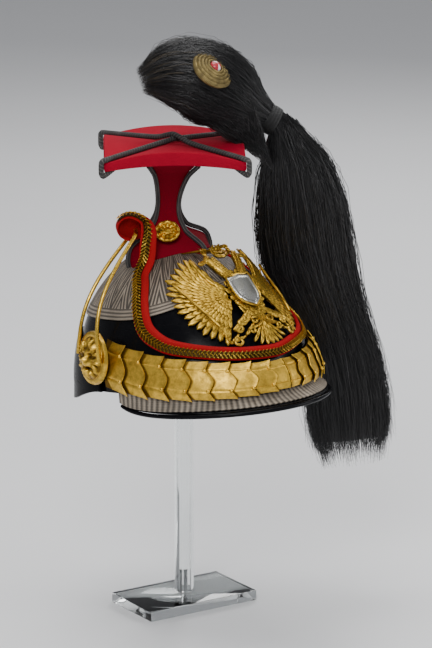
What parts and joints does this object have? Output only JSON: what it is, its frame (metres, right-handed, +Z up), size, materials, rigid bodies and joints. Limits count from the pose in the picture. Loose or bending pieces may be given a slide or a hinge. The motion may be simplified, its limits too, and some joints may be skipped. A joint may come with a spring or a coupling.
{
  "type": "lancer cap on display stand",
  "caption": "Lancer cap with a square cloth top, brass eagle plate, scaled chin strap and a falling horsehair plume, on a clear stand.",
  "frame": {"origin": "middle of the stand plate's underside, which rests on a table", "axes": "+Z up, -Y towards the front of the cap, +X towards the wearer's left"},
  "size_m": [0.2679, 0.2419, 0.4828],
  "materials": {
    "clear_acrylic": "gloss",
    "steel": "satin",
    "black_iron": "satin",
    "lacquered_leather": "gloss",
    "red_cloth": "matte",
    "silver_lace": "satin",
    "cord": "matte",
    "gilt_brass": "polished",
    "silver": "satin",
    "horsehair": "satin",
    "bullion": "satin",
    "red_centre": "matte"
  },
  "bodies": {
    "root": {"stand_plate": "clear_acrylic", "stand_post": "clear_acrylic", "stand_head": "clear_acrylic", "stand_stud": "steel", "skull": "lacquered_leather", "neck_guard": "lacquered_leather", "visor": "lacquered_leather", "visor_binding": "lacquered_leather", "strap": "lacquered_leather", "lace_band": "silver_lace", "visor_lace": "silver_lace", "scales_left": "gilt_brass", "scales_right": "gilt_brass", "boss_left": "gilt_brass", "boss_right": "gilt_brass", "waist": "red_cloth", "top_board": "red_cloth", "waist_button": "gilt_brass", "waist_cord_front": "cord", "waist_cord_left": "cord", "waist_cord_back": "cord", "waist_cord_right": "cord", "top_cords": "cord", "chain_backing": "red_cloth", "chain_links": "gilt_brass", "chain_hook": "gilt_brass", "eagle_plate": "gilt_brass", "eagle_shield": "silver", "plume_head": "horsehair", "plume_tail": "horsehair", "plume_tie": "cord", "plume_bracket": "black_iron", "cockade": "bullion", "cockade_centre": "red_centre"}
  },
  "joints": []
}
